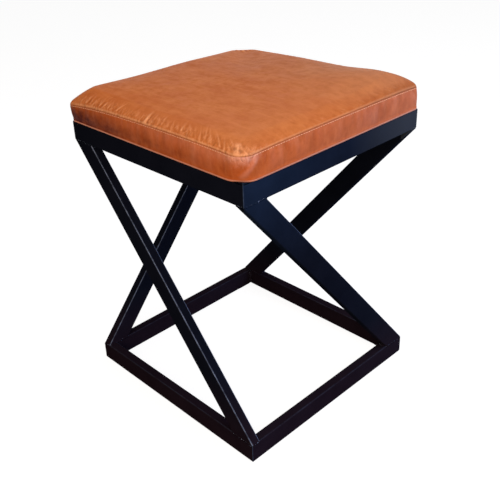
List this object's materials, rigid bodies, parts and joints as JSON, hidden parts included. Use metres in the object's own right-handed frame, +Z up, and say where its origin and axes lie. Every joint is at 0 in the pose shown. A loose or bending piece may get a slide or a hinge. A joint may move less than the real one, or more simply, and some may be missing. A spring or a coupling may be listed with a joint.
{
  "type": "stool",
  "caption": "Square stool with a boxed leather seat on a welded frame of rectangular tube, whose diagonal legs seem to cross from any side.",
  "frame": {"origin": "centre of the square footprint on the floor, at the underside of the floor pads", "axes": "+Z up; the frame's sides lie along X and Y. The front side faces -Y, and its leg runs from the top left to the bottom right. The seat's front right and back left corners are cut more than the other two."},
  "size_m": [0.352, 0.352, 0.474],
  "materials": {
    "frame_paint": "satin black powder coat",
    "zinc_steel": "zinc plated",
    "plywood": "raw plywood",
    "foam": "open cell foam",
    "seat_leather": "semi-gloss pull-up leather",
    "dust_cloth": "non-woven cloth",
    "pad_rubber": "matte"
  },
  "bodies": {
    "root": {"top_rail_front": "frame_paint", "top_rail_right": "frame_paint", "top_rail_back": "frame_paint", "top_rail_left": "frame_paint", "base_rail_front": "frame_paint", "base_rail_right": "frame_paint", "base_rail_back": "frame_paint", "base_rail_left": "frame_paint", "leg_front": "frame_paint", "leg_right": "frame_paint", "leg_back": "frame_paint", "leg_left": "frame_paint", "top_ring_welds": "frame_paint", "base_ring_welds": "frame_paint", "leg_top_welds": "frame_paint", "leg_base_welds": "frame_paint", "corner_plate_front_left": "frame_paint", "corner_plate_front_right": "frame_paint", "corner_plate_back_right": "frame_paint", "corner_plate_back_left": "frame_paint", "seat_screws": "zinc_steel", "cover_staples": "zinc_steel", "dust_cover_staples": "zinc_steel", "seat_board": "plywood", "seat_foam": "foam", "cover_top": "seat_leather", "cover_band": "seat_leather", "dust_cover": "dust_cloth", "floor_pads": "pad_rubber"}
  },
  "joints": []
}
